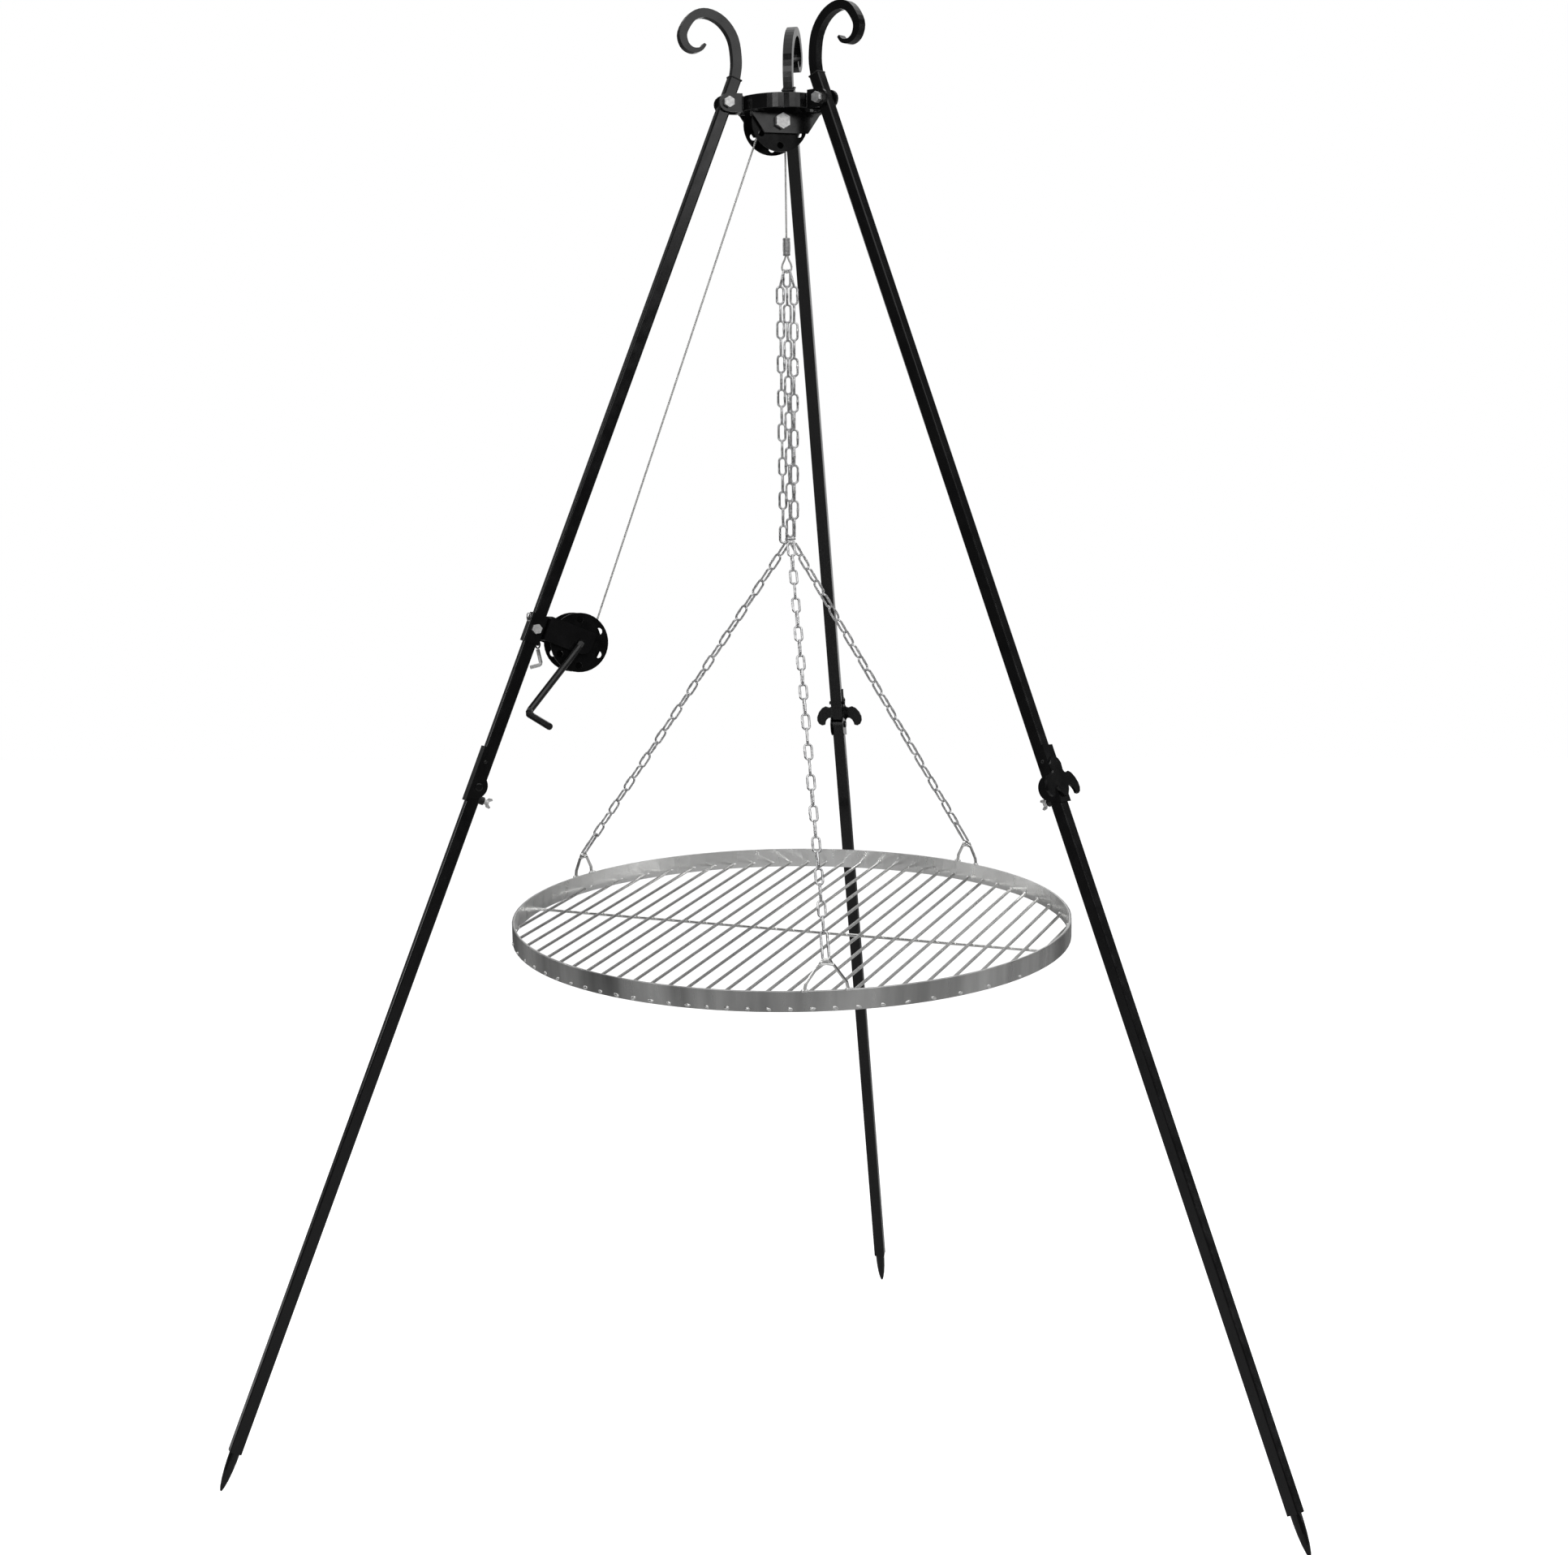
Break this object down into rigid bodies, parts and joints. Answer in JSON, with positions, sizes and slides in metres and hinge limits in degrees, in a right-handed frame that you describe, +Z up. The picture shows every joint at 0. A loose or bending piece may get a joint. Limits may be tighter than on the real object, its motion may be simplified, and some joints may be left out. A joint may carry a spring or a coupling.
{
  "type": "campfire tripod grate",
  "caption": "Folding square-tube tripod with scroll tops and spiked feet; a side crank winch runs a cable over a pulley to a round grate hung on chains.",
  "frame": {"origin": "middle of the bounding box's base, on the ground that the spikes stand on", "axes": "+Z up, +Y toward the rear leg, +X toward the leg without the winch"},
  "size_m": [1.268, 1.099, 1.7656],
  "materials": {
    "black_paint": "gloss black paint",
    "zinc_steel": "bright zinc plate",
    "stainless_steel": "brushed stainless",
    "galvanised_cable": "stranded galvanised wire",
    "ferrule_aluminium": "matt pressed aluminium"
  },
  "bodies": {
    "hub": {"hub_ring": "black_paint", "lug_left": "black_paint", "lug_right": "black_paint", "lug_rear": "black_paint", "pulley_plate_front": "black_paint", "pulley_plate_back": "black_paint", "pulley_bolt": "zinc_steel", "hub_bolt_left": "zinc_steel", "hub_bolt_right": "zinc_steel", "hub_bolt_rear": "zinc_steel", "rope_run": "galvanised_cable"},
    "pulley": {"pulley_reel": "black_paint"},
    "left_leg": {"scroll_left": "black_paint", "upper_tube_left": "black_paint", "knee_channel_left": "black_paint", "knee_pin_left": "black_paint", "winch_sleeve": "black_paint", "sleeve_bolt": "zinc_steel", "winch_bracket": "black_paint", "pin_leash": "black_paint"},
    "left_foot": {"lower_tube_left": "black_paint", "spike_left": "black_paint"},
    "left_wing": {"wing_screw_left": "zinc_steel"},
    "winch": {"winch_reel": "black_paint", "crank": "black_paint"},
    "lock_pin": {"lock_pin": "zinc_steel"},
    "right_leg": {"scroll_right": "black_paint", "upper_tube_right": "black_paint", "knee_channel_right": "black_paint", "knee_pin_right": "black_paint", "hook_plate_right": "black_paint"},
    "right_foot": {"lower_tube_right": "black_paint", "spike_right": "black_paint"},
    "right_wing": {"wing_screw_right": "zinc_steel"},
    "rear_leg": {"scroll_rear": "black_paint", "upper_tube_rear": "black_paint", "knee_channel_rear": "black_paint", "knee_pin_rear": "black_paint", "hook_plate_rear": "black_paint"},
    "rear_foot": {"lower_tube_rear": "black_paint", "spike_rear": "black_paint"},
    "cable": {"rope_drop": "galvanised_cable"},
    "hoist": {"ferrule": "ferrule_aluminium", "rope_loop": "galvanised_cable"},
    "grate": {"hanging_chain_left": "zinc_steel", "hanging_chain_middle": "zinc_steel", "hanging_chain_right": "zinc_steel", "gather_link": "zinc_steel", "grate_chain_left": "zinc_steel", "grate_chain_right": "zinc_steel", "grate_chain_front": "zinc_steel", "bail_left": "stainless_steel", "bail_right": "stainless_steel", "bail_front": "stainless_steel", "grate_rim": "stainless_steel", "grate_rods": "stainless_steel"}
  },
  "joints": [
    {"name": "left_leg_fold", "type": "hinge", "parent": "hub", "child": "left_leg", "pos_m": [-0.06149, -0.2178, 1.653], "axis": [0.5, -0.866, 0], "range_deg": [0, 2], "deforming": ["rope_run"]},
    {"name": "left_knee_fold", "type": "hinge", "parent": "left_leg", "child": "left_foot", "pos_m": [-0.34601, -0.38207, 0.83016], "axis": [0.5, -0.866, 0], "range_deg": [0, 5]},
    {"name": "left_wing_turn", "type": "hinge", "parent": "left_foot", "child": "left_wing", "pos_m": [-0.339, -0.37802, 0.81186], "axis": [0.8043, 0.4644, -0.3708], "continuous": true},
    {"name": "right_leg_fold", "type": "hinge", "parent": "hub", "child": "right_leg", "pos_m": [0.06149, -0.2178, 1.653], "axis": [0.5, 0.866, 0], "range_deg": [0, 2]},
    {"name": "right_knee_fold", "type": "hinge", "parent": "right_leg", "child": "right_foot", "pos_m": [0.34601, -0.38207, 0.83016], "axis": [0.5, 0.866, 0], "range_deg": [0, 5]},
    {"name": "right_wing_turn", "type": "hinge", "parent": "right_foot", "child": "right_wing", "pos_m": [0.339, -0.37802, 0.81186], "axis": [-0.8043, 0.4644, -0.3708], "continuous": true},
    {"name": "rear_leg_fold", "type": "hinge", "parent": "hub", "child": "rear_leg", "pos_m": [0, -0.1113, 1.653], "axis": [-1, 0, 0], "range_deg": [0, 1.5]},
    {"name": "rear_knee_fold", "type": "hinge", "parent": "rear_leg", "child": "rear_foot", "pos_m": [0, 0.20092, 0.87103], "axis": [-1, 0, 0], "range_deg": [0, 5]},
    {"name": "pay_out", "type": "slide", "parent": "cable", "child": "hoist", "axis": [0, 0, -1], "range_m": [-0.04, 0.4], "deforming": ["rope_drop"]},
    {"name": "winch_turn", "type": "hinge", "parent": "left_leg", "child": "winch", "pos_m": [-0.23602, -0.31857, 1.00127], "axis": [0.5, -0.866, 0], "range_deg": [-125, 1240]},
    {"name": "pulley_turn", "type": "hinge", "parent": "hub", "child": "pulley", "pos_m": [-0.00563, -0.18555, 1.6305], "axis": [0.5, -0.866, 0], "range_deg": [-1530, 155]},
    {"name": "cable_swing", "type": "hinge", "parent": "hub", "child": "cable", "pos_m": [0.00341, -0.1711, 1.6305], "axis": [0.5, -0.866, 0], "range_deg": [-1.5, 1.5]},
    {"name": "grate_swivel", "type": "hinge", "parent": "hoist", "child": "grate", "pos_m": [0.00341, -0.1711, 1.456], "axis": [0, 0, 1], "continuous": true},
    {"name": "lock_pin_swing", "type": "hinge", "parent": "left_leg", "child": "lock_pin", "pos_m": [-0.28139, -0.32917, 0.99345], "axis": [0.5, -0.866, 0], "range_deg": [-12, 12]}
  ],
  "couplings": [
    {"joint": "winch_turn", "follows": "pay_out", "rad_per_m": 53.908},
    {"joint": "pulley_turn", "follows": "pay_out", "rad_per_m": -66.445}
  ]
}
